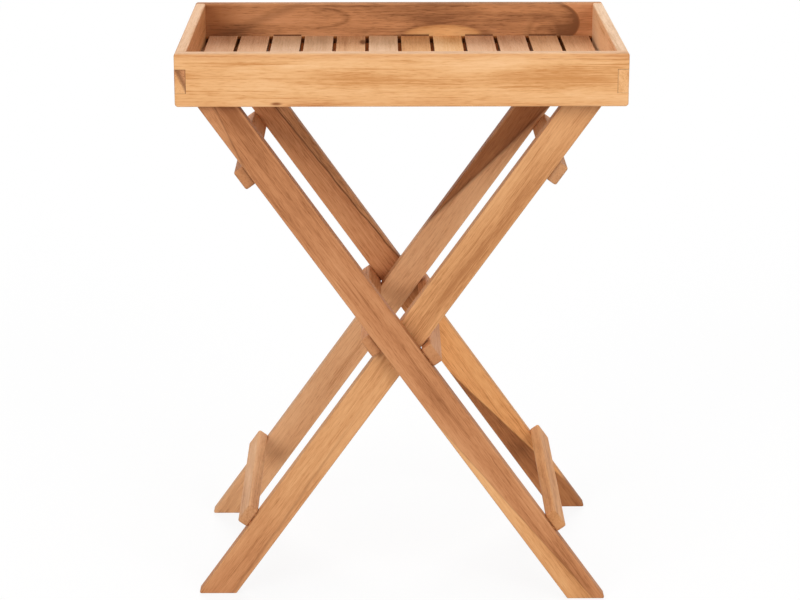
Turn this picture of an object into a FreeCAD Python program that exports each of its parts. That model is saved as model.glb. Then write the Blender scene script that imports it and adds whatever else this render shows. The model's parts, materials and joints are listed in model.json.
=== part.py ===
"""Butlers tray table: a lift-off slatted tray on a folding cross-legged stand, in teak.

Millimetres. +Z is up, the front is -Y, and the origin is on the floor under the middle of the tray.
The outer frame's legs lean to the left at the top, and the inner frame's legs lean to the right.
"""
import FreeCAD, Part
import math
import os
import Sketcher

SLAT_COUNT = 12

# Driving dimensions, in millimetres.
SIZES = {
    # Tray
    "tray_width": 550,
    "tray_depth": 385,
    "table_height": 715,
    "board_height": 66,
    "board_thickness": 14,
    "board_edge_radius": 2,
    "board_corner_radius": 4,
    "nest_depth": 12,
    "slat_thickness": 10,
    "slat_gap": 4.6,
    "slat_edge_radius": 1,
    "tongue_thickness": 6,
    "tongue_fit": 0.2,
    "tongue_end_clearance": 0.5,
    "shoulder_clearance": 0.3,
    "groove_depth": 6,
    # Cross batten under the slats, and its screws
    "batten_width": 30,
    "batten_thickness": 10,
    "screw_diameter": 3.5,
    "screw_head_diameter": 7,
    "screw_tip": 3,
    "screw_cover": 4,
    "screw_clearance": 0.05,
    "screw_end_clearance": 0.5,
    # Legs of the stand
    "leg_width": 40,
    "leg_thickness": 20,
    "leg_edge_radius": 1.5,
    "leg_corner_radius": 2,
    "pivot_height": 333,
    "nest_end_clearance": 1.5,
    "nest_side_clearance": 1.5,
    # Cross rails
    "rail_width": 27,
    "rail_thickness": 15,
    "rail_edge_radius": 3,
    "rail_setback": 6,
    "top_rail_drop": 110,
    "bottom_rail_rise": 109,
    "stop_clearance": 0.2,
    # Dowels between rails and legs
    "dowel_diameter": 6,
    "dowel_spacing": 14,
    "dowel_in_leg": 17,
    "dowel_cover": 5,
    "dowel_clearance": 0.05,
    "dowel_end_clearance": 0.5,
    # Pivot pins and washers
    "pin_diameter": 8,
    "pin_chamfer": 0.8,
    "pin_clearance": 0.05,
    "pin_end_clearance": 1,
    "bore_wall": 5,
    "washer_diameter": 22,
    "washer_thickness": 1,
    "washer_clearance": 0.2,
}

# Heights of the finger joint's steps, as shares of the board's height.
SHARES = {
    "lower_finger_share": 0.25,
    "tenon_share": 0.45,
}

# Places and sizes that follow from the driving dimensions.
PLACES = {
    "inner_width": "Sizes.tray_width - 2 * Sizes.board_thickness",
    "inner_depth": "Sizes.tray_depth - 2 * Sizes.board_thickness",
    "tray_bottom": "Sizes.table_height - Sizes.board_height",
    "tenon_low": "Sizes.board_height * Sizes.lower_finger_share",
    "tenon_high": "tenon_low + Sizes.board_height * Sizes.tenon_share",
    "leg_top": "tray_bottom + Sizes.nest_depth",
    "slat_width": "(inner_width - Sizes.slat_gap * (Sizes.slat_count + 1)) / Sizes.slat_count",
    "slat_pitch": "slat_width + Sizes.slat_gap",
    "first_slat_x": "-slat_pitch * (Sizes.slat_count - 1) / 2",
    "slat_shoulder": "inner_depth / 2 - Sizes.shoulder_clearance",
    "slat_tip": "inner_depth / 2 + Sizes.groove_depth - Sizes.tongue_end_clearance",
    "screw_row": "slat_pitch * (Sizes.slat_count - 1)",
    "screw_length": "Sizes.batten_thickness + Sizes.slat_thickness - Sizes.screw_cover",
    # The lean at which the legs' lower edges meet the end boards at the leg tops.
    "leg_rise": "leg_top - Sizes.pivot_height",
    "nest_reach": "inner_width / 2 - Sizes.nest_end_clearance",
    "nest_radius": "sqrt(nest_reach ^ 2 + leg_rise ^ 2)",
    "lean": "acos(Sizes.leg_width / (2 * nest_radius)) - atan2(leg_rise; nest_reach)",
    # Places along a leg, measured from the pivot.
    "half_leg": "Sizes.leg_width / 2",
    "end_skew": "half_leg * tan(lean)",
    "leg_end": "leg_rise / cos(lean)",
    "foot_end": "-Sizes.pivot_height / cos(lean)",
    "top_rail_start": "leg_end - Sizes.top_rail_drop - Sizes.rail_width / 2",
    "bottom_rail_start": "foot_end + Sizes.bottom_rail_rise - Sizes.rail_width / 2",
    "stop_round": "Sizes.rail_edge_radius * (sin(2 * lean) + cos(2 * lean) - 1) / sin(2 * lean)",
    "left_stop_start": "end_skew - stop_round + Sizes.stop_clearance",
    "right_stop_start": "-left_stop_start - Sizes.rail_width",
    # Places front to back.
    "stand_depth": "inner_depth - 2 * Sizes.nest_side_clearance",
    "pivot_gap": "Sizes.washer_thickness + Sizes.washer_clearance",
    "outer_leg_y": "stand_depth / 2 - Sizes.leg_thickness / 2",
    "inner_leg_y": "outer_leg_y - Sizes.leg_thickness - pivot_gap",
    "outer_rail_length": "2 * outer_leg_y + Sizes.leg_thickness - 2 * Sizes.rail_setback",
    "inner_rail_length": "2 * inner_leg_y + Sizes.leg_thickness - 2 * Sizes.rail_setback",
    "outer_face_y": "outer_leg_y - Sizes.leg_thickness / 2",
    "pin_y": "outer_face_y - pivot_gap / 2",
    "washer_y": "outer_face_y - Sizes.washer_thickness / 2",
    # Depths of bores.
    "bore_depth": "Sizes.leg_thickness - Sizes.bore_wall",
    "pin_length": "2 * (bore_depth - Sizes.pin_end_clearance) + pivot_gap",
    "dowel_in_rail": "Sizes.rail_thickness - Sizes.dowel_cover",
    "dowel_length": "Sizes.dowel_in_leg + dowel_in_rail",
}

LOW_SIDE = -1
HIGH_SIDE = 1
FRONT = -1
BACK = 1
SAME_PLACE = 1e-6
ALONG = 1 - SAME_PLACE
QUARTER_TURN = math.pi / 2
HALF_TURN_DEGREES = 180

doc = FreeCAD.newDocument("butlers_tray_table")
sizes = doc.addObject("Spreadsheet::Sheet", "Sizes")
places = doc.addObject("Spreadsheet::Sheet", "Places")
pieces = []


def fill_sheet(sheet, rows):
    """Write one named cell per row, with the name beside its value."""
    for index, (name, content) in enumerate(rows.items(), start=1):
        sheet.set("A%d" % index, name)
        sheet.set("B%d" % index, content)
        sheet.setAlias("B%d" % index, name)


def measure(expression):
    """The value that an expression of the sheets' names has now."""
    found = places.evalExpression(expression)
    return getattr(found, "Value", found)


def new_body(name):
    body = doc.addObject("PartDesign::Body", name)
    body.Label = name
    pieces.append(body)
    return body


def origin_feature(body, role):
    return next(feature for feature in body.Origin.OriginFeatures if feature.Role == role)


def new_sketch(body, role, offset="0"):
    """A sketch on one of the body's origin planes, moved along the plane's normal by an expression."""
    sketch = body.newObject("Sketcher::SketchObject", body.Name + "_sketch")
    sketch.AttachmentSupport = [(origin_feature(body, role), "")]
    sketch.MapMode = "FlatFace"
    sketch.setExpression("AttachmentOffset.Base.z", offset)
    return sketch


def hold(sketch, kind, piece, point, expression):
    """Fix a point's distance from the sketch's origin to an expression."""
    number = sketch.addConstraint(Sketcher.Constraint(kind, -1, 1, piece, point, measure(expression)))
    sketch.setExpression("Constraints[%d]" % number, expression)


def hold_point(sketch, piece, point, across, up):
    hold(sketch, "DistanceX", piece, point, across)
    hold(sketch, "DistanceY", piece, point, up)


def draw_outline(sketch, corners):
    """A closed outline of straight lines through corners given as pairs of expressions."""
    points = [FreeCAD.Vector(measure(across), measure(up), 0) for across, up in corners]
    following = points[1:] + points[:1]
    lines = [sketch.addGeometry(Part.LineSegment(start, end)) for start, end in zip(points, following)]
    for line, next_line in zip(lines, lines[1:] + lines[:1]):
        sketch.addConstraint(Sketcher.Constraint("Coincident", line, 2, next_line, 1))
    for line, (across, up) in zip(lines, corners):
        hold_point(sketch, line, 1, across, up)


def draw_rectangle(sketch, left, low, right, high):
    draw_outline(sketch, [(left, low), (right, low), (right, high), (left, high)])


def draw_circle(sketch, across, up, radius):
    centre = FreeCAD.Vector(measure(across), measure(up), 0)
    circle = sketch.addGeometry(Part.Circle(centre, FreeCAD.Vector(0, 0, 1), measure(radius)))
    number = sketch.addConstraint(Sketcher.Constraint("Radius", circle, measure(radius)))
    sketch.setExpression("Constraints[%d]" % number, radius)
    hold_point(sketch, circle, 3, across, up)


def draw_corner_waste(sketch, across, up, radius):
    """The waste between a square corner and the quarter circle that rounds it."""
    centre_across = "%s - %s" % (across, radius)
    centre_up = "%s - %s" % (up, radius)
    corner = FreeCAD.Vector(measure(across), measure(up), 0)
    centre = FreeCAD.Vector(measure(centre_across), measure(centre_up), 0)
    top = sketch.addGeometry(Part.LineSegment(FreeCAD.Vector(centre.x, corner.y, 0), corner))
    side = sketch.addGeometry(Part.LineSegment(corner, FreeCAD.Vector(corner.x, centre.y, 0)))
    circle = Part.Circle(centre, FreeCAD.Vector(0, 0, 1), measure(radius))
    arc = sketch.addGeometry(Part.ArcOfCircle(circle, 0, QUARTER_TURN))
    sketch.addConstraint(Sketcher.Constraint("Coincident", top, 2, side, 1))
    sketch.addConstraint(Sketcher.Constraint("Coincident", side, 2, arc, 1))
    sketch.addConstraint(Sketcher.Constraint("Coincident", arc, 2, top, 1))
    hold_point(sketch, top, 1, centre_across, up)
    hold_point(sketch, side, 1, across, up)
    hold_point(sketch, side, 2, across, centre_up)
    number = sketch.addConstraint(Sketcher.Constraint("Radius", arc, measure(radius)))
    sketch.setExpression("Constraints[%d]" % number, radius)


def pad(body, sketch, length, both_ways=False, backwards=False):
    feature = body.newObject("PartDesign::Pad", body.Name + "_pad")
    feature.Profile = sketch
    feature.SideType = "Symmetric" if both_ways else "One side"
    feature.Reversed = backwards
    feature.setExpression("Length", length)
    doc.recompute()
    return feature


def check_that_it_cut(body, before):
    doc.recompute()
    if body.Shape.Volume >= before:
        raise RuntimeError("a cut in %s removed nothing" % body.Label)


def pocket(body, sketch, depth, both_ways=False, backwards=False):
    """Cut against the sketch's normal, or along it where backwards is true."""
    before = body.Shape.Volume
    feature = body.newObject("PartDesign::Pocket", body.Name + "_pocket")
    feature.Profile = sketch
    feature.SideType = "Symmetric" if both_ways else "One side"
    feature.Reversed = backwards
    feature.setExpression("Length", depth)
    check_that_it_cut(body, before)


def round_edges(body, radius, is_wanted):
    """Ease the edges of the body that a test picks out."""
    base = body.Tip
    names = ["Edge%d" % number for number, edge in enumerate(base.Shape.Edges, start=1) if is_wanted(edge)]
    feature = body.newObject("PartDesign::Fillet", body.Name + "_edges")
    feature.Base = (base, names)
    feature.setExpression("Radius", radius)
    doc.recompute()


def runs_along(axis):
    """A test for straight edges that are parallel to an axis."""
    direction = FreeCAD.Vector(axis)
    return lambda edge: abs(edge.tangentAt(edge.FirstParameter).dot(direction)) > ALONG


def lies_on(edge, axis, place):
    box = edge.BoundBox
    low, high = {"x": (box.XMin, box.XMax), "y": (box.YMin, box.YMax), "z": (box.ZMin, box.ZMax)}[axis]
    tolerance = SAME_PLACE * measure("Sizes.table_height")
    return abs(low - place) < tolerance and abs(high - place) < tolerance


def lies_on_planes(plane_groups):
    """A test for edges that lie on all planes of any of the groups, each plane an axis and an expression."""
    groups = [[(axis, measure(place)) for axis, place in group] for group in plane_groups]
    return lambda edge: any(all(lies_on(edge, axis, place) for axis, place in group) for group in groups)


def repeat_along_slats(body, feature):
    """Repeat a feature once per slat, from the first slat towards +X."""
    pattern = body.newObject("PartDesign::LinearPattern", body.Name + "_row")
    pattern.Originals = [feature]
    pattern.Direction = (origin_feature(body, "X_Axis"), [""])
    pattern.setExpression("Length", "Places.screw_row")
    pattern.setExpression("Occurrences", "Sizes.slat_count")
    body.Tip = pattern
    doc.recompute()


def place(body, across="0", deep="0", up="0", turn=0):
    """Stand a tray piece at a place, turned about the vertical by a number of degrees."""
    body.setExpression(
        "Placement",
        "placement(vector(%s; %s; %s); rotation(vector(0; 0; 1); %d))" % (across, deep, up, turn),
    )


def place_on_frame(body, frame, deep="0"):
    """Lean a frame's piece about the pivot. Its own +Z runs up the leg, and +X is the leg's upper side."""
    body.setExpression(
        "Placement",
        "placement(vector(0; %s; Sizes.pivot_height); rotation(vector(0; 0; 1); %d)"
        " * rotation(vector(0; 1; 0); -Places.lean))" % (deep, frame["turn"]),
    )


def build_long_board(name, end):
    """A front or back board: finger-jointed, with rounded corners, eased edges and a groove for slats."""
    body = new_body(name)
    half = "Sizes.tray_width / 2"
    shoulder = "Places.inner_width / 2"
    right_end = [
        (half, "0"),
        (half, "Places.tenon_low"),
        (shoulder, "Places.tenon_low"),
        (shoulder, "Places.tenon_high"),
        (half, "Places.tenon_high"),
        (half, "Sizes.board_height"),
    ]
    left_end = [("-(%s)" % across, up) for across, up in reversed(right_end)]
    outline = new_sketch(body, "XZ_Plane")
    draw_outline(outline, right_end + left_end)
    pad(body, outline, "Sizes.board_thickness", backwards=True)
    levels = [("z", "0"), ("z", "Sizes.board_height")]
    end_planes = [("x", half), ("x", "-(%s)" % half)]
    corners = [(level, end_plane) for level in levels for end_plane in end_planes]
    round_edges(body, "Sizes.board_corner_radius", lies_on_planes(corners))
    outer_edges = [(("y", "0"), plane) for plane in levels + end_planes]
    round_edges(body, "Sizes.board_edge_radius", lies_on_planes(outer_edges))
    rim = new_sketch(body, "YZ_Plane")
    draw_corner_waste(rim, "Sizes.board_thickness", "Sizes.board_height", "Sizes.board_edge_radius")
    pocket(body, rim, "Places.inner_width", both_ways=True)
    groove = new_sketch(body, "XZ_Plane", "-Sizes.board_thickness")
    groove_top = "Sizes.nest_depth + Sizes.tongue_thickness + Sizes.tongue_fit"
    draw_rectangle(groove, "-(%s)" % shoulder, "Sizes.nest_depth", shoulder, groove_top)
    pocket(body, groove, "Sizes.groove_depth", backwards=True)
    turn = 0 if end == FRONT else HALF_TURN_DEGREES
    place(body, deep="%d * Sizes.tray_depth / 2" % end, up="Places.tray_bottom", turn=turn)


def build_end_board(name, side):
    """A left or right board: a tenon at each end, rounded outer edges and an eased rim."""
    body = new_body(name)
    tip = "Sizes.tray_depth / 2"
    shoulder = "Places.inner_depth / 2"
    back_end = [
        (shoulder, "0"),
        (shoulder, "Places.tenon_low"),
        (tip, "Places.tenon_low"),
        (tip, "Places.tenon_high"),
        (shoulder, "Places.tenon_high"),
        (shoulder, "Sizes.board_height"),
    ]
    front_end = [("-(%s)" % across, up) for across, up in reversed(back_end)]
    outline = new_sketch(body, "YZ_Plane")
    draw_outline(outline, back_end + front_end)
    pad(body, outline, "Sizes.board_thickness")
    outer = ("x", "0")
    rim = ("z", "Sizes.board_height")
    corners = [(outer, level) for level in (rim, ("z", "0"))]
    round_edges(body, "Sizes.board_corner_radius", lies_on_planes(corners))
    eased_edges = [(outer, ("y", tip)), (outer, ("y", "-(%s)" % tip)), (("x", "Sizes.board_thickness"), rim)]
    round_edges(body, "Sizes.board_edge_radius", lies_on_planes(eased_edges))
    turn = 0 if side == LOW_SIDE else HALF_TURN_DEGREES
    place(body, across="%d * Sizes.tray_width / 2" % side, up="Places.tray_bottom", turn=turn)


def build_slat(number):
    """A slat with a tongue at each end, eased long edges and a blind hole below for the batten's screw."""
    body = new_body("tray_slat_%02d" % (number + 1))
    back_end = [
        ("Places.slat_tip", "0"),
        ("Places.slat_tip", "Sizes.tongue_thickness"),
        ("Places.slat_shoulder", "Sizes.tongue_thickness"),
        ("Places.slat_shoulder", "Sizes.slat_thickness"),
    ]
    front_end = [("-" + across, up) for across, up in reversed(back_end)]
    outline = new_sketch(body, "YZ_Plane")
    draw_outline(outline, back_end + front_end)
    pad(body, outline, "Places.slat_width", both_ways=True)
    round_edges(body, "Sizes.slat_edge_radius", runs_along((0, 1, 0)))
    hole = new_sketch(body, "XY_Plane")
    draw_circle(hole, "0", "0", "Sizes.screw_diameter / 2 + Sizes.screw_clearance")
    pocket(body, hole, "Sizes.slat_thickness - Sizes.screw_cover + Sizes.screw_end_clearance", backwards=True)
    place(body, across="Places.first_slat_x + %d * Places.slat_pitch" % number, up="Places.leg_top")


def screw_profile(clearance, straight_end, point_length):
    """Half section of a countersunk screw, from its head at the bottom to its end."""
    head = "Sizes.screw_head_diameter / 2 + %s" % clearance
    shank = "Sizes.screw_diameter / 2 + %s" % clearance
    head_height = "(Sizes.screw_head_diameter - Sizes.screw_diameter) / 2"
    corners = [("0", "0"), (head, "0"), (shank, head_height), (shank, straight_end)]
    corners.append(("0", "%s + %s" % (straight_end, point_length)))
    return corners


def turn_profile(body, kind, corners):
    """Turn a half section about the vertical through the first slat's middle."""
    sketch = new_sketch(body, "XZ_Plane")
    draw_outline(sketch, corners)
    feature = body.newObject(kind, body.Name + "_turned")
    feature.Profile = sketch
    feature.ReferenceAxis = (sketch, ["V_Axis"])
    doc.recompute()
    return feature


def build_batten():
    """The cross batten under the slats, with a countersunk hole for each slat's screw."""
    body = new_body("tray_cross_batten")
    end = "Places.inner_width / 2 + Places.first_slat_x"
    half = "Sizes.batten_width / 2"
    section = new_sketch(body, "YZ_Plane", "-(%s)" % end)
    draw_rectangle(section, "-" + half, "0", half, "Sizes.batten_thickness")
    pad(body, section, "Places.inner_width")
    before = body.Shape.Volume
    hole = turn_profile(
        body, "PartDesign::Groove", screw_profile("Sizes.screw_clearance", "Sizes.batten_thickness", "0"))
    check_that_it_cut(body, before)
    repeat_along_slats(body, hole)
    place(body, across="Places.first_slat_x", up="Places.leg_top - Sizes.batten_thickness")


def build_batten_screws():
    body = new_body("batten_screws")
    screw = turn_profile(
        body, "PartDesign::Revolution",
        screw_profile("0", "Places.screw_length - Sizes.screw_tip", "Sizes.screw_tip"))
    repeat_along_slats(body, screw)
    place(body, across="Places.first_slat_x", up="Places.leg_top - Sizes.batten_thickness")


def dowel_heights(start):
    """Places along the leg of the two dowels of a rail that starts at an expression."""
    middle = "%s + Sizes.rail_width / 2" % start
    return ["%s - Sizes.dowel_spacing / 2" % middle, "%s + Sizes.dowel_spacing / 2" % middle]


def rails_on(frame, side):
    return [start for rail_side, start in frame["rails"].values() if rail_side == side]


def build_leg(frame, end):
    """A leg cut level at its top and foot, with blind bores for the pivot pin and the rails' dowels."""
    body = new_body("%s_%s_leg" % (frame["name"], "front" if end == FRONT else "back"))
    outline = new_sketch(body, "XZ_Plane")
    draw_outline(outline, [
        ("-Places.half_leg", "Places.foot_end + Places.end_skew"),
        ("Places.half_leg", "Places.foot_end - Places.end_skew"),
        ("Places.half_leg", "Places.leg_end - Places.end_skew"),
        ("-Places.half_leg", "Places.leg_end + Places.end_skew"),
    ])
    pad(body, outline, "Sizes.leg_thickness", both_ways=True)
    round_edges(body, "Sizes.leg_corner_radius", runs_along((0, 1, 0)))
    side_faces = [[("y", "%d * Sizes.leg_thickness / 2" % face)] for face in (FRONT, BACK)]
    round_edges(body, "Sizes.leg_edge_radius", lies_on_planes(side_faces))
    bore = new_sketch(body, "XZ_Plane", "%d * Sizes.leg_thickness / 2" % end)
    draw_circle(bore, "0", "0", "Sizes.pin_diameter / 2 + Sizes.pin_clearance")
    pocket(body, bore, "Places.bore_depth", backwards=end == FRONT)
    for side in (LOW_SIDE, HIGH_SIDE):
        holes = new_sketch(body, "YZ_Plane", "%d * Places.half_leg" % side)
        for start in rails_on(frame, side):
            for height in dowel_heights(start):
                draw_circle(holes, "0", height, "Sizes.dowel_diameter / 2 + Sizes.dowel_clearance")
        pocket(body, holes, "Sizes.dowel_in_leg + Sizes.dowel_end_clearance", backwards=side == LOW_SIDE)
    place_on_frame(body, frame, "%d * %s" % (end, frame["leg_y"]))


def build_rail(frame, name):
    """A rail laid across the narrow edges of a frame's two legs, with blind bores for its dowels."""
    side, start = frame["rails"][name]
    body = new_body(name)
    inner = "%d * Places.half_leg" % side
    outer = "%d * (Places.half_leg + Sizes.rail_thickness)" % side
    section = new_sketch(body, "XZ_Plane")
    draw_rectangle(section, inner, start, outer, "%s + Sizes.rail_width" % start)
    pad(body, section, frame["rail_length"], both_ways=True)
    round_edges(body, "Sizes.rail_edge_radius", lambda edge: True)
    holes = new_sketch(body, "YZ_Plane", inner)
    for end in (FRONT, BACK):
        for height in dowel_heights(start):
            draw_circle(holes, "%d * %s" % (end, frame["leg_y"]), height,
                        "Sizes.dowel_diameter / 2 + Sizes.dowel_clearance")
    pocket(body, holes, "Places.dowel_in_rail + Sizes.dowel_end_clearance", backwards=side == HIGH_SIDE)
    place_on_frame(body, frame)


def build_dowels(frame):
    """All dowels of a frame, as a group of separate solids."""
    body = new_body("%s_rail_dowels" % frame["name"])
    first_ends = {
        LOW_SIDE: "-Places.half_leg - Places.dowel_in_rail",
        HIGH_SIDE: "Places.half_leg - Sizes.dowel_in_leg",
    }
    for side, first_end in first_ends.items():
        section = new_sketch(body, "YZ_Plane", first_end)
        for start in rails_on(frame, side):
            for end in (FRONT, BACK):
                leg_y = "%d * %s" % (end, frame["leg_y"])
                for height in dowel_heights(start):
                    draw_circle(section, leg_y, height, "Sizes.dowel_diameter / 2")
        pad(body, section, "Places.dowel_length")
    place_on_frame(body, frame)


def build_pivot(end):
    """A blind steel pin through the gap between two crossing legs, and the washer that it carries."""
    end_name = "front" if end == FRONT else "back"
    pin = new_body("%s_pivot_pin" % end_name)
    section = new_sketch(pin, "XZ_Plane")
    draw_circle(section, "0", "0", "Sizes.pin_diameter / 2")
    shaft = pad(pin, section, "Places.pin_length", both_ways=True)
    rims = ["Edge%d" % number for number, edge in enumerate(shaft.Shape.Edges, start=1) if edge.isClosed()]
    chamfer = pin.newObject("PartDesign::Chamfer", pin.Name + "_ends")
    chamfer.Base = (shaft, rims)
    chamfer.setExpression("Size", "Sizes.pin_chamfer")
    place(pin, deep="%d * Places.pin_y" % end, up="Sizes.pivot_height")
    washer = new_body("%s_pivot_washer" % end_name)
    ring = new_sketch(washer, "XZ_Plane")
    draw_circle(ring, "0", "0", "Sizes.washer_diameter / 2")
    draw_circle(ring, "0", "0", "Sizes.pin_diameter / 2 + Sizes.washer_clearance")
    pad(washer, ring, "Sizes.washer_thickness", both_ways=True)
    place(washer, deep="%d * Places.washer_y" % end, up="Sizes.pivot_height")


def build_frame(frame):
    for end in (FRONT, BACK):
        build_leg(frame, end)
    for name in frame["rails"]:
        build_rail(frame, name)
    build_dowels(frame)


OUTER_FRAME = {
    "name": "outer",
    "turn": 0,
    "leg_y": "Places.outer_leg_y",
    "rail_length": "Places.outer_rail_length",
    "rails": {
        "outer_top_rail": (LOW_SIDE, "Places.top_rail_start"),
        "outer_bottom_rail": (HIGH_SIDE, "Places.bottom_rail_start"),
        "left_stop_rail": (LOW_SIDE, "Places.left_stop_start"),
        "right_stop_rail": (HIGH_SIDE, "Places.right_stop_start"),
    },
}
INNER_FRAME = {
    "name": "inner",
    "turn": HALF_TURN_DEGREES,
    "leg_y": "Places.inner_leg_y",
    "rail_length": "Places.inner_rail_length",
    "rails": {
        "inner_top_rail": (LOW_SIDE, "Places.top_rail_start"),
        "inner_bottom_rail": (HIGH_SIDE, "Places.bottom_rail_start"),
    },
}

driving = {**SIZES, **SHARES, "slat_count": SLAT_COUNT}
fill_sheet(sizes, {name: str(number) for name, number in driving.items()})
fill_sheet(places, {name: "=" + formula for name, formula in PLACES.items()})
doc.recompute()

build_long_board("tray_front_board", FRONT)
build_long_board("tray_back_board", BACK)
build_end_board("tray_left_board", LOW_SIDE)
build_end_board("tray_right_board", HIGH_SIDE)
for slat_number in range(SLAT_COUNT):
    build_slat(slat_number)
build_batten()
build_batten_screws()
build_frame(OUTER_FRAME)
build_frame(INNER_FRAME)
for pivot_end in (FRONT, BACK):
    build_pivot(pivot_end)
doc.recompute()

for item in doc.Objects:
    if "Invalid" in item.State or "Error" in item.State:
        raise RuntimeError("%s did not build: %s" % (item.Label, item.State))
for piece in pieces:
    if piece.Shape.isNull() or not piece.Shape.isValid():
        raise RuntimeError("%s has no valid shape" % piece.Label)

os.makedirs("parts", exist_ok=True)
for piece in pieces:
    piece.Shape.exportStep("parts/%s.step" % piece.Label)
    print("%-20s %2d solid(s) %12.1f mm3" % (piece.Label, len(piece.Shape.Solids), piece.Shape.Volume))
print("lean %.3f degrees" % measure("Places.lean"))
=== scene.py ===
"""Butlers tray table: oiled teak finishes, a plain studio and the camera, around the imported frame.

Metres. +Z is up and the front is -Y. Every piece keeps its solid from the frame. Each wooden piece has a
finish of its own, and the steel ones share one.
A teak finish is worked out in grain coordinates: the first runs along the grain, the second across the
piece's broad face and the third through its thickness, all from the middle of the piece.
"""
import json
import math
from dataclasses import dataclass, replace

import bmesh
import bpy
from mathutils import Euler, Matrix, Vector


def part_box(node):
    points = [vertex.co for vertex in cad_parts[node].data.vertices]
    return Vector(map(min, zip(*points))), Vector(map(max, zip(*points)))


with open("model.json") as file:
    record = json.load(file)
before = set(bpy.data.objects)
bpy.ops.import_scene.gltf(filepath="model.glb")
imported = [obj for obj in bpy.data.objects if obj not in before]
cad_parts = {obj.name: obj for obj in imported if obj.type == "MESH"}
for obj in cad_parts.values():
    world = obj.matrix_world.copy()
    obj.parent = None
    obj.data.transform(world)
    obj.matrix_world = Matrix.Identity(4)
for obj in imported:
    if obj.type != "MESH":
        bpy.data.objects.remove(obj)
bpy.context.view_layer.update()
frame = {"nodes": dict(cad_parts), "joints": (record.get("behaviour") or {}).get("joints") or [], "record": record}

X_AXIS = Vector((1, 0, 0))
Y_AXIS = Vector((0, 1, 0))
Z_AXIS = Vector((0, 0, 1))

# Directions in grain coordinates, each with its opposite.
ALONG = (1, 0, 0)
BACK_ALONG = (-1, 0, 0)
ACROSS = (0, 1, 0)
BACK_ACROSS = (0, -1, 0)
THROUGH = (0, 0, 1)
BACK_THROUGH = (0, 0, -1)

# The camera takes in the whole table from the front, from a little above the tray.
IMAGE_WIDTH_PIXELS = 800
FOCAL_LENGTH_PIXELS = 2498
SENSOR_WIDTH_MILLIMETRES = 36
CAMERA_PLACE = Vector((-0.0292, -3.1663, 1.2573))
LOOK_DOWN_DEGREES = 15.98
LOOK_RIGHT_DEGREES = 0.52

# Kinds of teak: the light, the usual and the deep colour of each, as display values from 0 to 255.
GOLDEN = ((240, 191, 140), (229, 173, 117), (203, 140, 82))
ORANGE = ((232, 178, 124), (219, 159, 104), (192, 126, 76))
HONEY = ((220, 170, 114), (207, 154, 100), (178, 122, 73))
BROWN = ((206, 146, 100), (187, 125, 81), (150, 93, 55))
NUT = ((212, 154, 107), (198, 137, 92), (162, 105, 64))
UMBER = ((205, 148, 105), (186, 129, 85), (128, 82, 50))
TAN = ((222, 166, 114), (206, 147, 96), (174, 115, 69))
PINK = ((226, 178, 139), (210, 157, 118), (180, 125, 88))
BISCUIT = ((226, 175, 131), (210, 155, 111), (179, 123, 82))
ROSE = ((223, 173, 128), (209, 156, 111), (179, 124, 82))
GINGER = ((201, 143, 96), (188, 128, 81), (156, 99, 58))
SAPWOOD = ((226, 172, 118), (211, 151, 98), (186, 126, 76))
HEARTWOOD = ((170, 112, 68), (150, 93, 54), (114, 68, 37))
AMBER = ((235, 176, 117), (223, 158, 98), (189, 124, 72))
# Paler teak for the right board's rim, partly painted sheen.
PALE_WITH_SHEEN = ((242, 210, 180), (232, 196, 162), (210, 168, 130))
PALE = ((233, 192, 156), (221, 177, 139), (199, 154, 115))
CREAM = ((244, 202, 160), (236, 187, 140), (206, 148, 98))
SAND = ((226, 184, 150), (212, 167, 129), (188, 143, 106))
# Not a kind of teak: painted shade for the back board's face below the slats' top, where it shows through the
# gaps.
PAINTED_SHADE = ((176, 100, 46), (156, 84, 34), (120, 64, 24))
# The tones at which a kind's light, usual and deep colours stand.
KIND_TONES = (0.05, 0.5, 0.95)
# The colours of dark figure lines, joints and the painted shadow lines at slat ends, and of the painted shade on
# the narrow sides of legs and slats.
LINE_BROWN = (92, 52, 28)
SIDE_SHADE_BROWN = (118, 67, 22)
STEEL_DARK = (150, 150, 148)
STEEL_LIGHT = (186, 186, 184)
FLOOR_GREY = (204, 204, 204)


@dataclass
class Pattern:
    """A noise in a finish: its cells per metre along, across and through the piece, and its detail."""
    cells: tuple
    detail: float = 2.0
    roughness: float = 0.5
    # The noise's values between which it goes from nothing to full, or nothing for the plain noise.
    between: tuple = ()


DRIFT = Pattern((2.2, 9, 9), detail=1)
WOBBLE = Pattern((22, 60, 60))
WAVES = Pattern((16, 0, 0))
BANDS = Pattern((2.5, 28, 28))
CLOUDS = Pattern((14, 60, 60))
STREAKS = Pattern((9, 420, 420), detail=4, roughness=0.62)
FIBRES = Pattern((60, 1500, 1500))
PORES = Pattern((70, 1900, 1900), detail=1, between=(0.62, 0.72))
FLECKS = Pattern((75, 820, 820), between=(0.50, 0.70))
DARK_LINES = Pattern((7, 330, 330), detail=3, between=(0.56, 0.72))
# Patches along the edges that are lighter: wear, and partly painted highlight.
WEAR_AND_HIGHLIGHT_PATCHES = Pattern((18, 60, 60), between=(0.35, 0.65))
LATHE_MARKS = Pattern((300, 6000, 6000))

# How far the grain drifts and wobbles sideways, and how far the edge of a figure usually wanders.
DRIFT_REACH = 0.009
WOBBLE_REACH = 0.0014
FIGURE_WANDER = 0.0015
# How far the lighter worn edges, which are partly painted highlight, reach on to the faces beside them.
WEAR_AND_HIGHLIGHT_REACH = 0.004
# The tone before any pattern darkens or lightens it. Patterns that only darken bring it to about a half.
BARE_SHADE = 0.42
# The part of a growth ring that darkens, and the values of the bands between which the rings come and go.
RING_BETWEEN = (0.3, 1.0)
RINGED_BANDS_BETWEEN = (0.35, 0.65)
# How squarely a face looks along the grain to count as an end, and across it to count as a side.
END_BETWEEN = (0.6, 0.9)
SIDE_BETWEEN = (0.75, 0.97)
# Most of a plain noise lies between these values.
NOISE_BETWEEN = (0.3, 0.7)
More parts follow.
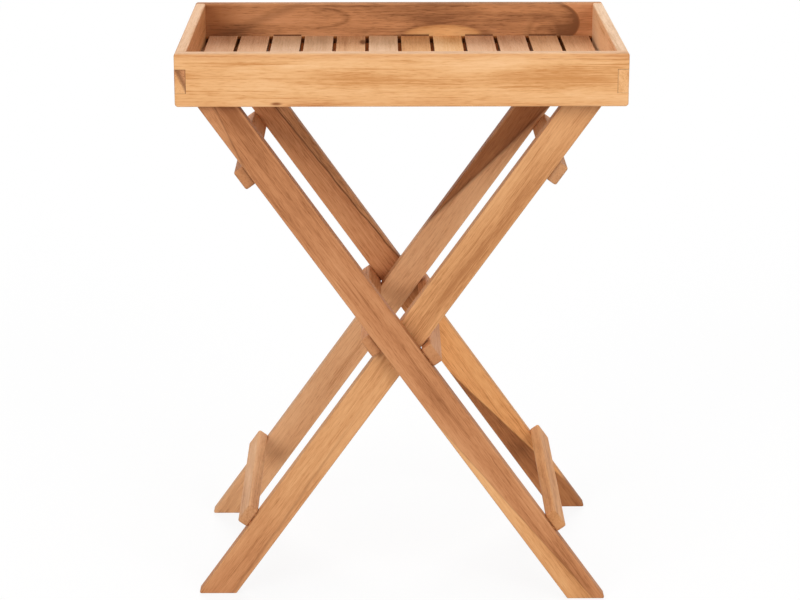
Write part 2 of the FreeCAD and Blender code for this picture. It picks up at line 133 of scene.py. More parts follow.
# The surface: how rough oiled wood and steel are, what wear adds to that, and how glossy the oil is.
OILED_ROUGHNESS = (0.50, 0.64)
WORN_ROUGHNESS = 0.12
STEEL_ROUGHNESS = (0.28, 0.42)
OILED_GLOSS = 0.16
# How strongly a pore takes the deep colour, and how high fibres stand as a share of its depth.
PORE_DEPTH = 0.3
FIBRE_HEIGHT_SHARE = 0.6
# Half the soft edge of a figure on the near face, and the soft ends of a figure on a stretch.
NEAR_FACE_EDGE = 0.002
STRETCH_END = 0.001
# An offset that puts a whole piece on one side of a plane.
WHOLE_PIECE = 1.0


def linear(display):
    """A display colour as the linear colour with alpha that a shader takes."""
    channels = []
    for value in display:
        share = value / 255
        channels.append(share / 12.92 if share <= 0.04045 else ((share + 0.055) / 1.055) ** 2.4)
    return (*channels, 1.0)


@dataclass(kw_only=True)
class Figure:
    """A mark in the wood of one piece, and where it keeps to."""
    # Where along the piece it goes from nothing to full, or nothing for full all along.
    grows: tuple = ()
    # The stretch along the piece that it keeps to, or nothing for its whole length.
    stretch: tuple = ()
    # The faces that it keeps to: the ends, the near broad face, or nothing for all.
    faces: str = ""


@dataclass
class Zone(Figure):
    """Another kind of teak on the side of a plane where normal . place + offset is above 0."""
    kind: tuple
    normal: tuple
    offset: float
    softness: float = 0.0010
    wander: float = FIGURE_WANDER


@dataclass
class Line(Figure):
    """A thin dark line where a plane meets the surface, normal . place + offset being 0 there."""
    normal: tuple
    offset: float
    width: float
    depth: float
    wander: float = FIGURE_WANDER


@dataclass
class Eye(Figure):
    """Rings round a place on the broad face: their half size, and (distance, darkness) from -1 to 1."""
    centre: tuple
    half_size: tuple
    rings: tuple
    # Another kind of teak inside the half size, or nothing for the piece's own, and how soft its edge is.
    kind: tuple = ()
    edge: float = 0.05


@dataclass
class Wood:
    """How one piece of teak looks. Depths say how strongly a pattern changes the tone."""
    kind: tuple
    seed: float
    band_depth: float = 1.2
    cloud_depth: float = 0.6
    streak_depth: float = 0.9
    line_depth: float = 0.30
    fleck_depth: float = 0.24
    fibre_depth: float = 0.7
    ring_depth: float = 0.16
    ring_spacing: float = 0.007
    # The pith's place across and through the piece.
    pith: tuple = (0.03, 0.07)
    # How dark the ends are, how dark the painted shade on the narrow side faces is, and how light the worn edges
    # are, which is wear and partly painted highlight.
    end_depth: float = 0.35
    side_shade_depth: float = 0.0
    wear_and_highlight_depth: float = 0.5
    figures: tuple = ()


class Finish:
    """A material in the making. Each method adds nodes and gives their output."""

    def __init__(self, name):
        self.material = bpy.data.materials.new(name)
        self.material.use_nodes = True
        self.tree = self.material.node_tree
        self.shader = self.tree.nodes["Principled BSDF"]

    def feed(self, socket, value):
        """Link an output to a socket, or set the socket's own value."""
        if isinstance(value, bpy.types.NodeSocket):
            self.tree.links.new(value, socket)
        else:
            socket.default_value = value

    def coordinates(self, output="Object"):
        return self.tree.nodes.new("ShaderNodeTexCoord").outputs[output]

    def mapped(self, vector, rotation=(0, 0, 0), location=(0, 0, 0), scale=(1, 1, 1)):
        node = self.tree.nodes.new("ShaderNodeMapping")
        self.feed(node.inputs["Vector"], vector)
        node.inputs["Location"].default_value = location
        node.inputs["Rotation"].default_value = rotation
        node.inputs["Scale"].default_value = scale
        return node.outputs["Vector"]

    def noise(self, vector, pattern, output="Fac"):
        node = self.tree.nodes.new("ShaderNodeTexNoise")
        self.feed(node.inputs["Vector"], self.mapped(vector, scale=pattern.cells))
        node.inputs["Scale"].default_value = 1.0
        node.inputs["Detail"].default_value = pattern.detail
        node.inputs["Roughness"].default_value = pattern.roughness
        if pattern.between:
            return self.fade(node.outputs[output], *pattern.between)
        return node.outputs[output]

    def calculate(self, operation, first, second=0.0, third=0.0):
        node = self.tree.nodes.new("ShaderNodeMath")
        node.operation = operation
        for socket, value in zip(node.inputs, (first, second, third)):
            self.feed(socket, value)
        return node.outputs[0]

    def calculate_vector(self, operation, first, second=(0, 0, 0)):
        node = self.tree.nodes.new("ShaderNodeVectorMath")
        node.operation = operation
        self.feed(node.inputs[0], first)
        self.feed(node.inputs[1], second)
        return node.outputs["Value" if operation in ("DOT_PRODUCT", "LENGTH") else "Vector"]

    def fade(self, value, start, end, low=0.0, high=1.0):
        """A smooth step from low to high as a value goes from start to end."""
        node = self.tree.nodes.new("ShaderNodeMapRange")
        node.interpolation_type = "SMOOTHSTEP"
        self.feed(node.inputs["Value"], value)
        for name, number in (("From Min", start), ("From Max", end), ("To Min", low), ("To Max", high)):
            node.inputs[name].default_value = number
        return node.outputs["Result"]

    def ramp(self, value, stops):
        """A colour that goes through (place, linear colour) stops."""
        node = self.tree.nodes.new("ShaderNodeValToRGB")
        self.feed(node.inputs["Fac"], value)
        elements = node.color_ramp.elements
        for number, (position, colour) in enumerate(stops):
            element = elements[number] if number < len(elements) else elements.new(position)
            element.position = position
            element.color = colour
        return node.outputs["Color"]

    def blend(self, factor, first, second):
        node = self.tree.nodes.new("ShaderNodeMix")
        node.data_type = "RGBA"
        self.feed(node.inputs[0], factor)
        self.feed(node.inputs[6], first)
        self.feed(node.inputs[7], second)
        return node.outputs[2]

    def bump(self, height, strength, distance):
        node = self.tree.nodes.new("ShaderNodeBump")
        self.feed(node.inputs["Height"], height)
        node.inputs["Strength"].default_value = strength
        node.inputs["Distance"].default_value = distance
        self.feed(self.shader.inputs["Normal"], node.outputs["Normal"])


class Teak(Finish):
    """Oiled teak on one piece, with bands, streaks, flecks, rings, fibres and pores along its grain."""

    def __init__(self, name, wood, axes, centre, half_sizes):
        super().__init__(name)
        self.wood = wood
        self.half_sizes = half_sizes
        to_grain = Matrix(axes)
        self.straight = self.mapped(self.coordinates(), to_grain.to_euler(), -(to_grain @ centre))
        self.seeded = self.mapped(self.straight, location=[wood.seed] * 3)
        drift = self.sideways(DRIFT, DRIFT_REACH)
        wobble = self.sideways(WOBBLE, WOBBLE_REACH)
        wander = self.calculate_vector("ADD", drift, wobble)
        self.bent = self.calculate_vector("ADD", self.straight, wander)
        self.grain = self.calculate_vector("ADD", self.seeded, wander)
        self.bands = self.noise(self.grain, BANDS)
        self.streaks = self.noise(self.grain, STREAKS)
        self.fibres = self.noise(self.grain, FIBRES)
        self.pores = self.noise(self.grain, PORES)
        self.ends = self.fade(self.facing(axes[0]), *END_BETWEEN)
        self.sides = self.fade(self.facing(axes[1]), *SIDE_BETWEEN)

    def facing(self, axis):
        """How squarely the surface faces along an axis, either way."""
        along_axis = self.calculate_vector("DOT_PRODUCT", self.coordinates("Normal"), axis)
        return self.calculate("ABSOLUTE", along_axis)

    def place_along(self, axis):
        """The place along a grain axis, from the middle of the piece."""
        return self.calculate_vector("DOT_PRODUCT", self.straight, axis)

    def sideways(self, pattern, reach):
        """A shift across and through the piece by a pattern."""
        shift = self.noise(self.seeded, pattern, output="Color")
        centred = self.calculate_vector("SUBTRACT", shift, (0.5, 0.5, 0.5))
        return self.calculate_vector("MULTIPLY", centred, (0, reach, reach))

    def rings(self):
        """Dark lines where growth rings meet the surface, sharper outside, which come and go."""
        node = self.tree.nodes.new("ShaderNodeTexWave")
        node.wave_type = "RINGS"
        node.rings_direction = "X"
        node.wave_profile = "SAW"
        self.feed(node.inputs["Vector"], self.mapped(self.bent, location=(0, *self.wood.pith)))
        # At a scale of 1 the rings are 2 pi / 20 apart.
        node.inputs["Scale"].default_value = 2 * math.pi / 20 / self.wood.ring_spacing
        node.inputs["Distortion"].default_value = 1.5
        node.inputs["Detail"].default_value = 2.0
        node.inputs["Detail Scale"].default_value = 0.25
        lines = self.fade(node.outputs["Fac"], *RING_BETWEEN)
        return self.calculate("MULTIPLY", lines, self.fade(self.bands, *RINGED_BANDS_BETWEEN))

    def distance_from(self, figure):
        """Distance from a zone's or a line's plane, which waves a little along the piece."""
        waving = self.calculate_vector("ADD", self.straight, self.sideways(WAVES, figure.wander))
        along_normal = self.calculate_vector("DOT_PRODUCT", waving, figure.normal)
        return self.calculate("ADD", along_normal, figure.offset)

    def distance_in(self, eye):
        """Distance from an eye's middle, where 1 is its half size."""
        half_along, half_across = eye.half_size
        scale = (1 / half_along, 1 / half_across, 0)
        location = (-eye.centre[0] / half_along, -eye.centre[1] / half_across, 0)
        return self.calculate_vector("LENGTH", self.mapped(self.bent, location=location, scale=scale))

    def kept_in_place(self, factor, figure):
        """A figure's factor, kept to the stretch and to the faces that it says."""
        limits = []
        if figure.grows:
            limits.append(self.fade(self.place_along(ALONG), *figure.grows))
        if figure.stretch:
            start, end = figure.stretch
            off_middle = self.calculate("ADD", self.place_along(ALONG), -(start + end) / 2)
            half_length = (end - start) / 2
            distance = self.calculate("ABSOLUTE", off_middle)
            limits.append(self.fade(distance, half_length, half_length - STRETCH_END))
        if figure.faces == "ends":
            limits.append(self.ends)
        if figure.faces == "near":
            limits.append(self.fade(self.place_along(THROUGH), -NEAR_FACE_EDGE, NEAR_FACE_EDGE))
        for limit in limits:
            factor = self.calculate("MULTIPLY", factor, limit)
        return factor

    def darkness_of(self, eye):
        """Darkness of an eye's rings, from -1 to 1."""
        reach = eye.rings[-1][0]
        stops = []
        for place, darkness in eye.rings:
            grey = 0.5 + darkness / 2
            stops.append((place / reach, (grey, grey, grey, 1)))
        grey = self.ramp(self.calculate("DIVIDE", self.distance_in(eye), reach), stops)
        return self.kept_in_place(self.calculate("MULTIPLY_ADD", grey, 2.0, -1.0), eye)

    def shade(self):
        """The tone at each place, from about 0 where it is light to about 1 where it is deep."""
        wood = self.wood
        shade = BARE_SHADE
        darkening = (
            (self.noise(self.grain, FLECKS), wood.fleck_depth),
            (self.noise(self.grain, DARK_LINES), wood.line_depth),
            (self.rings(), wood.ring_depth))
        for pattern, depth in darkening:
            shade = self.calculate("MULTIPLY_ADD", pattern, depth, shade)
        both_ways = (
            (self.bands, wood.band_depth),
            (self.noise(self.grain, CLOUDS), wood.cloud_depth),
            (self.streaks, wood.streak_depth),
            (self.fibres, wood.fibre_depth))
        for pattern, depth in both_ways:
            shade = self.calculate("ADD", shade, self.calculate("MULTIPLY_ADD", pattern, depth, -depth / 2))
        for figure in wood.figures:
            if isinstance(figure, Eye):
                shade = self.calculate("ADD", shade, self.darkness_of(figure))
        return shade

    def tones(self, shade, kind):
        """The colour that a kind of teak has at a tone."""
        return self.ramp(shade, [(tone, linear(display)) for tone, display in zip(KIND_TONES, kind)])

    def figured(self, shade):
        """The colour with the piece's own figure: zones of other teak, eyes and dark lines."""
        colour = self.tones(shade, self.wood.kind)
        for figure in self.wood.figures:
            if isinstance(figure, Zone):
                factor = self.fade(self.distance_from(figure), -figure.softness, figure.softness)
                other = self.tones(shade, figure.kind)
            elif isinstance(figure, Line):
                off_line = self.calculate("ABSOLUTE", self.distance_from(figure))
                factor = self.fade(off_line, 0.0, figure.width, figure.depth, 0.0)
                other = linear(LINE_BROWN)
            elif figure.kind:
                factor = self.fade(self.distance_in(figure), 1 + figure.edge, 1 - figure.edge)
                other = self.tones(shade, figure.kind)
            else:
                continue
            colour = self.blend(self.kept_in_place(factor, figure), colour, other)
        return colour

    def worn_and_highlit_edges(self):
        """How worn and lighter the long edges are, in patches along the piece: wear, and partly painted highlight.
        """
        edge_wear_and_highlight = self.noise(self.seeded, WEAR_AND_HIGHLIGHT_PATCHES)
        for axis, half_size in zip((ACROSS, THROUGH), self.half_sizes[1:]):
            off_middle = self.calculate("ABSOLUTE", self.place_along(axis))
            near_edge = self.fade(off_middle, half_size - WEAR_AND_HIGHLIGHT_REACH, half_size)
            edge_wear_and_highlight = self.calculate("MULTIPLY", edge_wear_and_highlight, near_edge)
        return edge_wear_and_highlight

    def finished(self):
        """The material, with all that changes its colour, its roughness and its height."""
        wood = self.wood
        light, _, deep = (linear(display) for display in wood.kind)
        edge_wear_and_highlight = self.worn_and_highlit_edges()
        colour = self.figured(self.shade())
        # Pores and end grain darken, the worn edges lighten, partly as painted highlight, and the narrow sides
        # take painted shade.
        layers = (
            (self.pores, PORE_DEPTH, deep),
            (self.ends, wood.end_depth, deep),
            (edge_wear_and_highlight, wood.wear_and_highlight_depth, light),
            (self.sides, wood.side_shade_depth, linear(SIDE_SHADE_BROWN)))
        for place, depth, other in layers:
            colour = self.blend(self.calculate("MULTIPLY", place, depth), colour, other)
        self.feed(self.shader.inputs["Base Color"], colour)
        oiled = self.fade(self.streaks, *NOISE_BETWEEN, *OILED_ROUGHNESS)
        roughness = self.calculate("MULTIPLY_ADD", edge_wear_and_highlight, WORN_ROUGHNESS, oiled)
        self.feed(self.shader.inputs["Roughness"], roughness)
        self.shader.inputs["Specular IOR Level"].default_value = OILED_GLOSS
        sunk_pores = self.calculate("MULTIPLY", self.pores, -1.0)
        raised = self.calculate("MULTIPLY_ADD", self.fibres, FIBRE_HEIGHT_SHARE, sunk_pores)
        self.bump(raised, strength=0.25, distance=0.0003)
        return self.material


def turned_steel():
    """Turned steel with fine lathe marks."""
    finish = Finish("turned_steel")
    marks = finish.noise(finish.coordinates(), LATHE_MARKS)
    colour = finish.blend(marks, linear(STEEL_DARK), linear(STEEL_LIGHT))
    finish.feed(finish.shader.inputs["Base Color"], colour)
    finish.shader.inputs["Metallic"].default_value = 1.0
    roughness = finish.fade(marks, *NOISE_BETWEEN, *STEEL_ROUGHNESS)
    finish.feed(finish.shader.inputs["Roughness"], roughness)
    finish.bump(marks, strength=0.15, distance=0.00005)
    return finish.material


def stand_lean():
    """The legs' lean from the vertical: from the pivot's height and the foot's distance from the middle."""
    fold = next(joint for joint in frame["joints"] if joint["name"] == "fold")
    foot = next(mount for mount in frame["record"]["mounts"] if mount["name"] == "foot_rest")
    return math.atan2(foot["pos_m"][0], fold["pos_m"][2])


def measure_piece(node, axes):
    """A piece's middle, and half its size along each of its grain axes."""
    vertices = frame["nodes"][node].data.vertices
    middle = Vector((0, 0, 0))
    half_sizes = []
    for axis in axes:
        places = [axis.dot(vertex.co) for vertex in vertices]
        middle += axis * (min(places) + max(places)) / 2
        half_sizes.append((max(places) - min(places)) / 2)
    return middle, half_sizes


def dress(node, material):
    for material_slot in frame["nodes"][node].material_slots:
        material_slot.material = material


def dress_in_teak(node, wood, along, across):
    axes = (along, across, along.cross(across))
    dress(node, Teak(node + "_teak", wood, axes, *measure_piece(node, axes)).finished())


def slat_name(number):
    return "tray_slat_%02d" % number


lean = stand_lean()
up_outer = Vector((-math.sin(lean), 0, math.cos(lean)))
up_inner = Vector((math.sin(lean), 0, math.cos(lean)))
across_outer = Vector((math.cos(lean), 0, math.sin(lean)))
across_inner = Vector((-math.cos(lean), 0, math.sin(lean)))

# The boards' measures, and the slats' top from the middle of the boards' height.
board_low, board_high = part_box("tray_front_board")
BOARD_MIDDLE = (board_low[2] + board_high[2]) / 2
BOARD_HALF_HEIGHT = (board_high[2] - board_low[2]) / 2
BOARD_HALF_THICKNESS = (board_high[1] - board_low[1]) / 2
SLAT_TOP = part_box(slat_name(1))[1][2] - BOARD_MIDDLE

# How far joint lines lie inside a tenon's edges, and how far the painted shadow lines at the slats' ends lie above
# the slats' top.
TENON_JOINT_INSET = 0.0004
SLAT_SHADOW_RISE = 0.0007
# The painted shade on the back board's face starts this far below the slats' top.
SHADE_DROP = 0.0006
# Places closer than this count as the same.
SAME_PLACE = 0.00001


def plane_through(start, end, upper=False):
    """Normal and offset of the plane through two places on the broad face, facing down or up across it."""
    run = Vector((*end, 0)) - Vector((*start, 0))
    normal = Vector((run.y, -run.x, 0)).normalized()
    if (normal.y > 0) != upper:
        normal.negate()
    return tuple(normal), -normal.dot(Vector((*start, 0)))


def line_between(start, end, **more):
    """A dark line along two places on the broad face."""
    return Line(*plane_through(start, end), **more)


def wedge(kind, start, end, width, depth, upper=False, wander=FIGURE_WANDER):
    """Another kind of teak on the lower or the upper side of a dark line along two places."""
    plane = plane_through(start, end, upper)
    return Zone(kind, *plane, wander=wander), Line(*plane, width, depth, wander)


def patch(centre, half_size, middle, halfway):
    """A soft dark or light patch: its darkness in the middle and halfway out. It fades to nothing."""
    return Eye(centre, half_size, ((0, middle), (0.5, halfway), (1, 0)))


def paler_rim_with_sheen(kind, depth, **more):
    """A paler kind of teak on a board's top edge, down to a depth: partly the wood's own colour and partly painted
    sheen.
    """
    return Zone(kind, ACROSS, depth - BOARD_HALF_HEIGHT, **more)


def end_faces(kind):
    """Another kind of teak on both ends of a piece."""
    return Zone(kind, THROUGH, WHOLE_PIECE, faces="ends")


def on_near_face(*figures):
    """The figures, each kept to the near broad face."""
    return tuple(replace(figure, faces="near") for figure in figures)


def tenon_edges(node):
    """The lower and the upper edge of an end board's tenons, from the middle of its height."""
    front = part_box(node)[0][1]
    vertices = frame["nodes"][node].data.vertices
    heights = [vertex.co.z for vertex in vertices if vertex.co.y - front < SAME_PLACE]
    return min(heights) - BOARD_MIDDLE, max(heights) - BOARD_MIDDLE


def joint_lines(node, inward):
    """The joint round the ends of an end board's tenons: their top, their bottom and their inner side."""
    low, high = tenon_edges(node)
    top = Line(ACROSS, TENON_JOINT_INSET - high, width=0.0010, depth=0.55, wander=0.0)
    bottom = Line(ACROSS, -TENON_JOINT_INSET - low, width=0.0008, depth=0.25, wander=0.0)
    inner = Line(inward, TENON_JOINT_INSET - BOARD_HALF_THICKNESS, width=0.0010, depth=0.5, wander=0.0)
    return tuple(replace(line, faces="ends") for line in (top, bottom, inner))


def slat_end_shadow_line(number):
    """A painted shadow line on the back board above the end of a slat, where the slat meets it."""
    low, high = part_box(slat_name(number))
    offset = -(SLAT_TOP + SLAT_SHADOW_RISE)
    return Line(ACROSS, offset, width=0.0024, depth=1.0, wander=0.0, stretch=(low[0], high[0]))


# The slats' kinds from left to right, those whose back end has a painted shadow line above it, and the knotty one.
SLAT_KINDS = (PINK, PINK, SAND, SAND, BISCUIT, PALE, TAN, GOLDEN, PINK, PINK, BISCUIT, BISCUIT)
SHADOW_ENDED_SLATS = (3, 7, 9, 11)
KNOTTY_SLAT = 5
# Every slat has painted light in its middle and painted shade towards its ends.
SLAT_PAINTED_LIGHT_AND_SHADE = Eye(
    (0, 0), (0.19, 0.5), ((0.26, -0.40), (0.42, -0.28), (0.63, 0), (0.79, 0.20), (0.94, 0.30)))
SLAT_KNOT = Eye(
    (0.130, 0.0165), (0.018, 0.0050), ((0, 1.0), (0.5, 0.7), (1, 0)), kind=HEARTWOOD, edge=0.6)
# The middle and the half size of the crescent on the back board.
CRESCENT = ((0.197, 0.005), (0.046, 0.030))
# The slant of the dark figure on the left board's ends.
LEFT_END_SLANT = (0, 0.42, 0.9)
# How dark the painted shade on the legs' narrow sides is.
LEG_SIDE_SHADE_DEPTH = 0.22

FRONT_BOARD = Wood(
    GOLDEN, seed=0.4, ring_depth=0.10, line_depth=0.45,
    figures=(
        # Deeper bands along the top and the bottom, and a pale top edge, partly painted sheen.
        Zone(ORANGE, ACROSS, -0.0265, softness=0.005, wander=0.008),
        Zone(ORANGE, BACK_ACROSS, -0.0270, softness=0.008, wander=0.012),
        paler_rim_with_sheen(PALE, depth=0.0012, softness=0.0006, wander=0.0),
        # Two dark patches, and a small knot at the lower edge.
        patch((-0.060, 0.004), (0.090, 0.016), 0.3, 0.2),
        patch((0.195, 0.002), (0.110, 0.022), 0.4, 0.3),
        Eye((-0.152, -0.0295), (0.006, 0.0019), ((0, 0.3), (1, 0)), kind=HEARTWOOD, edge=0.6),
    ))
# The figure of this board shows on its inner face.
BACK_BOARD = Wood(
    UMBER, seed=0.8, ring_depth=0.08, streak_depth=0.5, line_depth=0.15, fibre_depth=0.45,
    figures=on_near_face(
        # Darker teak at the left end, and lighter teak at the right end round the crescent.
        Zone(HEARTWOOD, BACK_ALONG, -0.222, softness=0.034),
        Zone(NUT, ALONG, -0.205, softness=0.002),
        Eye(*CRESCENT, ((0, 0), (1, 0)), kind=UMBER, edge=0.03),
        # The dark sweep and the swirl on the left.
        line_between((-0.132, 0.033), (-0.228, -0.006), width=0.010, depth=0.32, wander=0.010),
        patch((-0.210, -0.003), (0.060, 0.018), 0.4, 0.3),
        Eye((-0.125, 0.0145), (0.056, 0.0135), ((0, 0), (0.84, 0), (1.0, 0.26), (1.12, 0), (1.5, 0)),
            grows=(-0.13, -0.09)),
        # The pale lens under a dark patch.
        patch((0.042, 0.022), (0.090, 0.020), 0.25, 0.18),
        Eye((0.058, -0.009), (0.052, 0.0135), ((0, -0.45), (0.5, -0.3), (0.9, 0.1), (1.06, 0.2), (1.4, 0)),
            kind=HONEY, edge=0.12),
        # The dark crescent on the right, the rings inside it and the patches beside them.
        Eye(*CRESCENT,
            ((0, 0), (0.5, 0), (0.80, 0.15), (0.91, 0.35), (0.96, 1.0), (1.0, 1.0), (1.03, 0), (1.8, 0)),
            grows=(0.18, 0.236)),
        Eye((0.196, -0.011), (0.021, 0.024), ((0, 0), (0.5, 0.15), (0.75, 0), (1.0, 0.15), (1.35, 0))),
        patch((0.166, 0.012), (0.026, 0.008), 0.1, 0.05),
        patch((0.224, -0.008), (0.026, 0.016), 0.3, 0.2),
        # Painted shade on the face below the slats' top, where it shows through the gaps, and painted shadow lines
        # above some slats' ends.
        Zone(PAINTED_SHADE, BACK_ACROSS, SLAT_TOP - SHADE_DROP, softness=0.0004, wander=0.0),
        *(slat_end_shadow_line(number) for number in SHADOW_ENDED_SLATS),
    ))
LEFT_BOARD = Wood(
    GINGER, seed=1.2, end_depth=0.0,
    figures=(
        # A pale top edge, partly painted sheen.
        paler_rim_with_sheen(PALE, depth=0.0015),
        end_faces(ORANGE),
        Zone(NUT, LEFT_END_SLANT, 0.0, softness=0.002, faces="ends"),
        Line(LEFT_END_SLANT, -0.0020, width=0.0045, depth=0.55, faces="ends"),
        *joint_lines("tray_left_board", inward=THROUGH),
    ))
RIGHT_BOARD = Wood(
    CREAM, seed=1.6, end_depth=0.0,
    figures=(
        # A pale top edge, partly painted sheen.
        paler_rim_with_sheen(PALE_WITH_SHEEN, depth=0.0015),
        end_faces(GOLDEN),
        *joint_lines("tray_right_board", inward=BACK_THROUGH),
    ))
OUTER_FRONT_LEG = Wood(
    BROWN, seed=2.0, streak_depth=0.7, side_shade_depth=LEG_SIDE_SHADE_DEPTH,
    figures=(
        # Dark at its top and light in its lower half, with a lighter wedge in each.
        Eye((0.410, 0.008), (0.130, 0.020), ((0, 0.5), (0.4, 0.35), (1, 0))),
        patch((-0.200, 0.0), (0.130, 0.040), -0.45, -0.3),
        *wedge(NUT, (0.389, -0.0034), (0.3257, -0.0156), width=0.0018, depth=0.4),
        *wedge(SAPWOOD, (-0.1406, -0.0155), (-0.3967, 0.0060), width=0.0014, depth=0.25),
    ))
OUTER_BACK_LEG = Wood(
    AMBER, seed=2.4, streak_depth=1.1, fibre_depth=1.1, side_shade_depth=LEG_SIDE_SHADE_DEPTH, wear_and_highlight_depth=0.15,
    figures=(
        # Brown in its upper half, partly painted shade under the tray, with a dark wedge in each half and a dark
        # foot.
        Zone(BROWN, ALONG, 0.030, softness=0.06),
        *wedge(UMBER, (0.2854, 0.0075), (0.0500, 0.0175), width=0.0019, depth=0.8, upper=True, wander=0.010),
        *wedge(HEARTWOOD, (-0.1556, -0.0182), (-0.3182, 0.0101), width=0.0016, depth=0.35),
        Zone(HEARTWOOD, BACK_ALONG, -0.365, softness=0.020),
        # Painted shade at its very top, under the tray, and lighter again in the middle of its foot.
        patch((0.400, 0.0), (0.11, 0.05), 0.7, 0.5),
        Eye((-0.390, 0.0), (0.05, 0.05), ((0, -0.35), (0.6, -0.3), (1, 0))),
    ))
INNER_FRONT_LEG = Wood(
    TAN, seed=2.8, band_depth=1.0, line_depth=0.45, side_shade_depth=LEG_SIDE_SHADE_DEPTH,
    figures=(
        # Brown towards its foot, with painted shade near the crossing and painted light at its top, and a dark
        # line down its lower half.
        Zone(BROWN, BACK_ALONG, -0.28, softness=0.15),
        patch((-0.390, 0.0), (0.160, 0.060), 0.1, 0.05),
        patch((0.100, 0.0), (0.130, 0.040), 0.25, 0.15),
        patch((0.390, 0.0), (0.100, 0.060), -0.4, -0.25),
        line_between((-0.0154, -0.0029), (-0.3896, -0.0156), width=0.0030, depth=0.26, wander=0.008,
                     grows=(-0.05, -0.25)),
    ))
INNER_BACK_LEG = Wood(
    ROSE, seed=3.2, streak_depth=0.7, band_depth=1.0, side_shade_depth=LEG_SIDE_SHADE_DEPTH,
    figures=wedge(HEARTWOOD, (0.3024, -0.0151), (0.0883, 0.0225), width=0.0045, depth=0.5, upper=True))

OUTER_RAIL_KINDS = {
    "outer_top_rail": NUT, "outer_bottom_rail": TAN, "left_stop_rail": NUT, "right_stop_rail": NUT}
INNER_RAIL_KINDS = {"inner_top_rail": ROSE, "inner_bottom_rail": ROSE}
# The seeds of pieces that are dressed in a row: each row's first, and the step between them.
SLAT_SEED = 4.4
OUTER_RAIL_SEED = 10.0
INNER_RAIL_SEED = 12.0
SEED_STEP = 0.4


def dress_slats():
    for index, kind in enumerate(SLAT_KINDS):
        number = index + 1
        figures = (SLAT_PAINTED_LIGHT_AND_SHADE, SLAT_KNOT) if number == KNOTTY_SLAT else (SLAT_PAINTED_LIGHT_AND_SHADE,)
        # The slats' narrow sides take full painted shade, as in the gaps between them.
        wood = Wood(
            kind, seed=SLAT_SEED + SEED_STEP * index, band_depth=0.8, cloud_depth=0.4, streak_depth=0.5,
            side_shade_depth=1.0, wear_and_highlight_depth=0.3, figures=figures)
        dress_in_teak(slat_name(number), wood, Y_AXIS, X_AXIS)


def dress_rails(kinds, first_seed, up):
    for index, (rail, kind) in enumerate(kinds.items()):
        dress_in_teak(rail, Wood(kind, seed=first_seed + SEED_STEP * index), Y_AXIS, up)


def dress_steel():
    steel = turned_steel()
    dress("batten_screws", steel)
    for side in ("front", "back"):
        dress(side + "_pivot_pin", steel)
        dress(side + "_pivot_washer", steel)


dress_in_teak("tray_front_board", FRONT_BOARD, X_AXIS, Z_AXIS)
dress_in_teak("tray_back_board", BACK_BOARD, X_AXIS, Z_AXIS)
dress_in_teak("tray_left_board", LEFT_BOARD, Y_AXIS, Z_AXIS)
dress_in_teak("tray_right_board", RIGHT_BOARD, Y_AXIS, Z_AXIS)
dress_slats()
dress_in_teak("tray_cross_batten", Wood(TAN, seed=13.0), X_AXIS, Y_AXIS)
dress_in_teak("outer_front_leg", OUTER_FRONT_LEG, up_outer, across_outer)
dress_in_teak("outer_back_leg", OUTER_BACK_LEG, up_outer, across_outer)
dress_in_teak("inner_front_leg", INNER_FRONT_LEG, up_inner, across_inner)
dress_in_teak("inner_back_leg", INNER_BACK_LEG, up_inner, across_inner)
dress_rails(OUTER_RAIL_KINDS, OUTER_RAIL_SEED, up_outer)
dress_rails(INNER_RAIL_KINDS, INNER_RAIL_SEED, up_inner)
dress_in_teak("outer_rail_dowels", Wood(TAN, seed=13.4, wear_and_highlight_depth=0.0), across_outer, Y_AXIS)
dress_in_teak("inner_rail_dowels", Wood(TAN, seed=13.8, wear_and_highlight_depth=0.0), across_inner, Y_AXIS)
dress_steel()

# Even light from all round, as a share of white.
SOFT_LIGHT = 0.40
FLOOR_HALF_WIDTH = 15.0
# The floor's own glow, in what is seen of it alone, brings its lit part to white and leaves a faint shadow.
FLOOR_GLOW_SHARE = 0.78
FLOOR_GLOW_STRENGTH = 1.10


def add_camera():
    camera = bpy.data.cameras.new("camera")
    camera.sensor_width = SENSOR_WIDTH_MILLIMETRES
    camera.lens = SENSOR_WIDTH_MILLIMETRES * FOCAL_LENGTH_PIXELS / IMAGE_WIDTH_PIXELS
    holder = bpy.data.objects.new("camera", camera)
    holder.location = CAMERA_PLACE
    tilt = math.radians(90 - LOOK_DOWN_DEGREES)
    turn = math.radians(-LOOK_RIGHT_DEGREES)
    holder.rotation_euler = Euler((tilt, 0, turn))
    bpy.context.scene.collection.objects.link(holder)
    bpy.context.scene.camera = holder


def add_lamp(name, azimuth, elevation, spread, strength, in_gloss=True):
    """A far, broad lamp. Its angles are in degrees: azimuth 0 is in front, and right is positive."""
    lamp = bpy.data.lights.new(name, "SUN")
    lamp.angle = math.radians(spread)
    lamp.energy = strength
    holder = bpy.data.objects.new(name, lamp)
    turn = math.radians(azimuth)
    height = math.radians(elevation)
    level = Vector((math.sin(turn), -math.cos(turn), 0))
    outward = level * math.cos(height) + Z_AXIS * math.sin(height)
    holder.rotation_euler = outward.to_track_quat("Z", "Y").to_euler()
    holder.visible_glossy = in_gloss
    bpy.context.scene.collection.objects.link(holder)


def rays_that_see(tree):
    """One for the rays that show the studio itself: straight from the camera, off gloss or through glass."""
    path = tree.nodes.new("ShaderNodeLightPath")
    seen = path.outputs["Is Camera Ray"]
    for name in ("Is Glossy Ray", "Is Transmission Ray"):
        either = tree.nodes.new("ShaderNodeMath")
        either.operation = "MAXIMUM"
        tree.links.new(seen, either.inputs[0])
        tree.links.new(path.outputs[name], either.inputs[1])
        seen = either.outputs[0]
    return seen


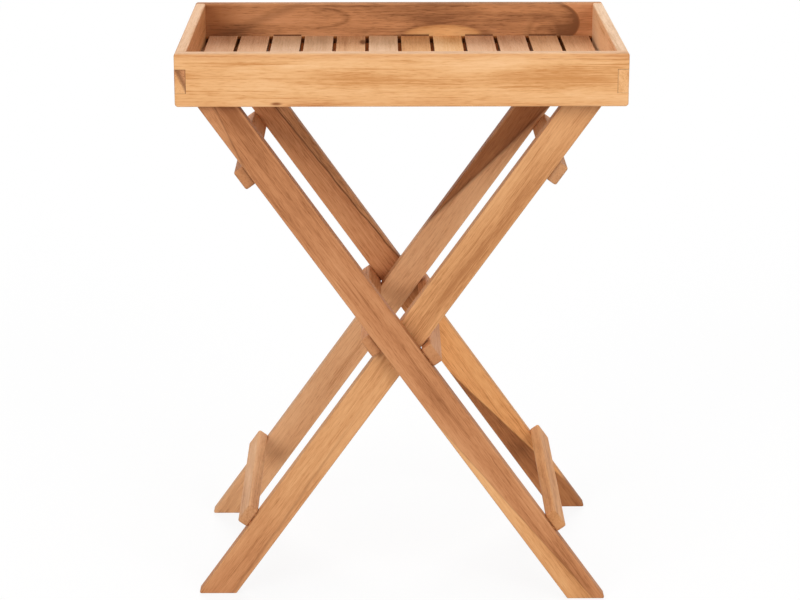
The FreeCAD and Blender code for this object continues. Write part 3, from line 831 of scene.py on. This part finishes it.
def add_world():
    """Even soft light from all round, with white behind the table."""
    world = bpy.data.worlds.new("studio")
    world.use_nodes = True
    nodes = world.node_tree.nodes
    links = world.node_tree.links
    soft = nodes["Background"]
    white = nodes.new("ShaderNodeBackground")
    for background, level in ((soft, SOFT_LIGHT), (white, 1.0)):
        background.inputs["Color"].default_value = (1, 1, 1, 1)
        background.inputs["Strength"].default_value = level
    mix = nodes.new("ShaderNodeMixShader")
    links.new(rays_that_see(world.node_tree), mix.inputs[0])
    links.new(soft.outputs[0], mix.inputs[1])
    links.new(white.outputs[0], mix.inputs[2])
    links.new(mix.outputs[0], nodes["World Output"].inputs["Surface"])
    bpy.context.scene.world = world


def pale_floor():
    """Matt pale grey in the light that it throws back, and white to the eye, with a faint shadow."""
    finish = Finish("pale_floor")
    finish.shader.inputs["Base Color"].default_value = linear(FLOOR_GREY)
    finish.shader.inputs["Roughness"].default_value = 0.9
    finish.shader.inputs["Specular IOR Level"].default_value = 0.0
    white = finish.tree.nodes.new("ShaderNodeEmission")
    white.inputs["Strength"].default_value = FLOOR_GLOW_STRENGTH
    share = finish.calculate("MULTIPLY", rays_that_see(finish.tree), FLOOR_GLOW_SHARE)
    mix = finish.tree.nodes.new("ShaderNodeMixShader")
    finish.feed(mix.inputs[0], share)
    finish.feed(mix.inputs[1], finish.shader.outputs["BSDF"])
    finish.feed(mix.inputs[2], white.outputs["Emission"])
    finish.feed(finish.tree.nodes["Material Output"].inputs["Surface"], mix.outputs["Shader"])
    return finish.material


def add_floor():
    shape = bmesh.new()
    bmesh.ops.create_grid(shape, x_segments=1, y_segments=1, size=FLOOR_HALF_WIDTH)
    mesh = bpy.data.meshes.new("floor")
    shape.to_mesh(mesh)
    shape.free()
    floor = bpy.data.objects.new("floor", mesh)
    bpy.context.scene.collection.objects.link(floor)
    mesh.materials.append(pale_floor())


add_camera()
add_world()
add_lamp("left_lamp", azimuth=-36, elevation=20, spread=35, strength=1.20)
add_lamp("right_lamp", azimuth=36, elevation=20, spread=35, strength=1.07)
add_lamp("top_lamp", azimuth=0, elevation=75, spread=50, strength=0.25)
# The white background behind the table already shows in its gloss, so this lamp stays out of it.
add_lamp("back_lamp", azimuth=180, elevation=26, spread=30, strength=2.5, in_gloss=False)
add_floor()
bpy.context.scene.view_settings.view_transform = "Standard"
